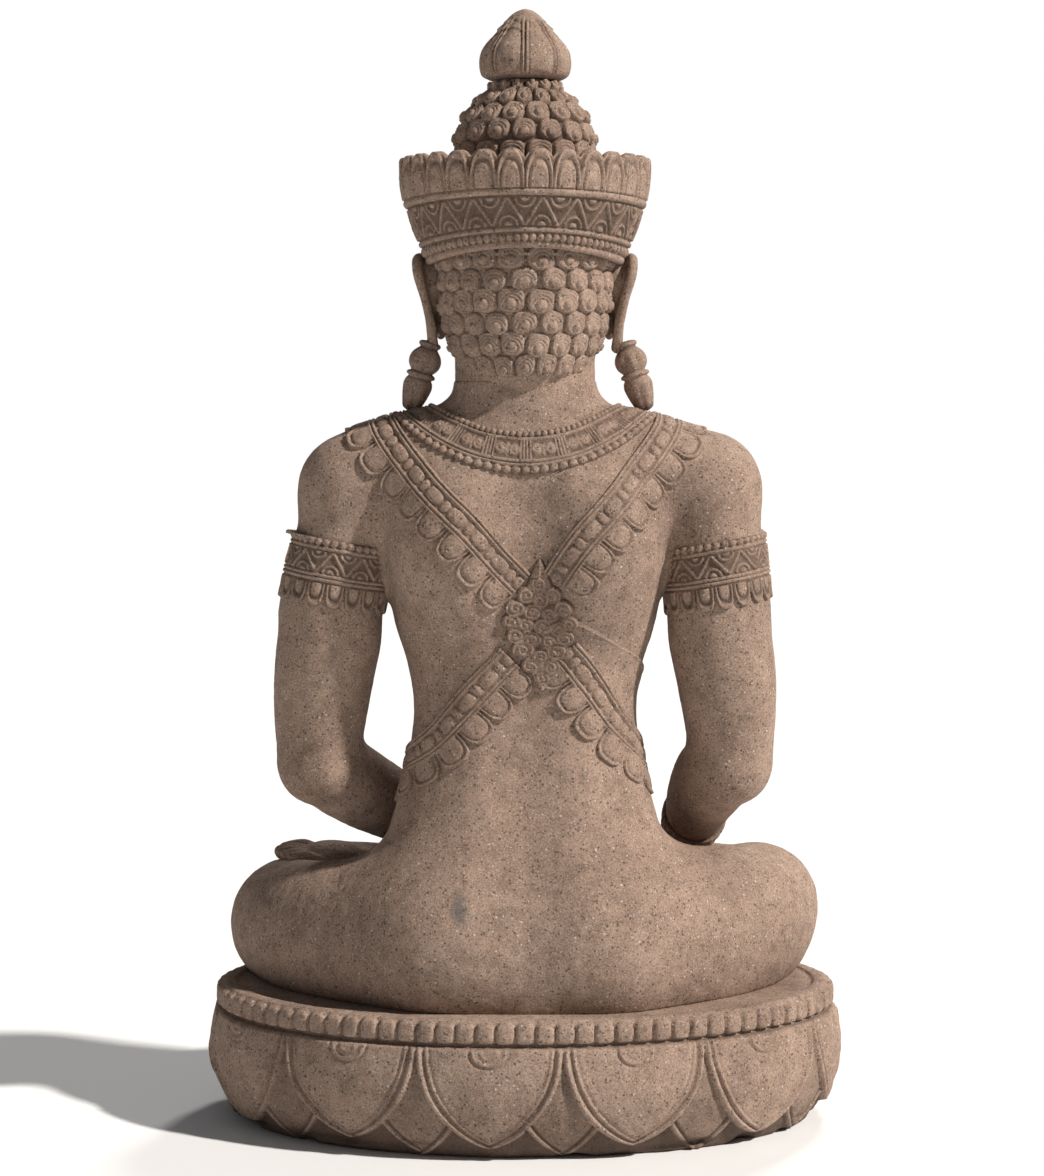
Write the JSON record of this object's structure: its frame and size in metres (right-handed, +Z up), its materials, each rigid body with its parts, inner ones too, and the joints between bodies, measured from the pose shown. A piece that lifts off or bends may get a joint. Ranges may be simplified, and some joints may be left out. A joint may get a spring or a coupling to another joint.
{
  "type": "buddha statue",
  "caption": "Seated stone Buddha on an oval lotus plinth, with crown, crossed sashes, collar, armlets and ear pendants, pieced from carved blocks on mortar beds and steel pins",
  "frame": {"origin": "centre of the plinth's underside", "axes": "+Z up, the figure faces -Y, its left side is +X"},
  "size_m": [0.8648, 0.6154, 1.5],
  "materials": {
    "stone": "rough hand-chiselled volcanic stone",
    "mortar": "fine stone-dust mortar",
    "stainless_pin": "plain round bar",
    "lead": "dull grey lead"
  },
  "bodies": {
    "root": {"crown_bed": "mortar", "crown_pin_1": "stainless_pin", "crown_pin_2": "stainless_pin", "crown_ring": "stone", "figure_block": "stone", "finial_bed": "mortar", "finial_bud": "stone", "finial_pin": "stainless_pin", "head_block": "stone", "lead_pad_1": "lead", "lead_pad_2": "lead", "lead_pad_3": "lead", "lead_pad_4": "lead", "left_arm": "stone", "left_arm_bed": "mortar", "left_arm_pin": "stainless_pin", "left_ear_pendant": "stone", "left_pendant_pin": "stainless_pin", "left_wrist_bed": "mortar", "left_wrist_pin": "stainless_pin", "lotus_plinth": "stone", "neck_bed": "mortar", "neck_pin_1": "stainless_pin", "neck_pin_2": "stainless_pin", "plinth_bed": "mortar", "plinth_pin_1": "stainless_pin", "plinth_pin_2": "stainless_pin", "plinth_pin_3": "stainless_pin", "plinth_pin_4": "stainless_pin", "right_arm": "stone", "right_arm_bed": "mortar", "right_arm_pin": "stainless_pin", "right_ear_pendant": "stone", "right_pendant_pin": "stainless_pin", "right_wrist_bed": "mortar", "right_wrist_pin": "stainless_pin", "ushnisha_bed": "mortar", "ushnisha_block": "stone", "ushnisha_pin": "stainless_pin"}
  },
  "joints": []
}
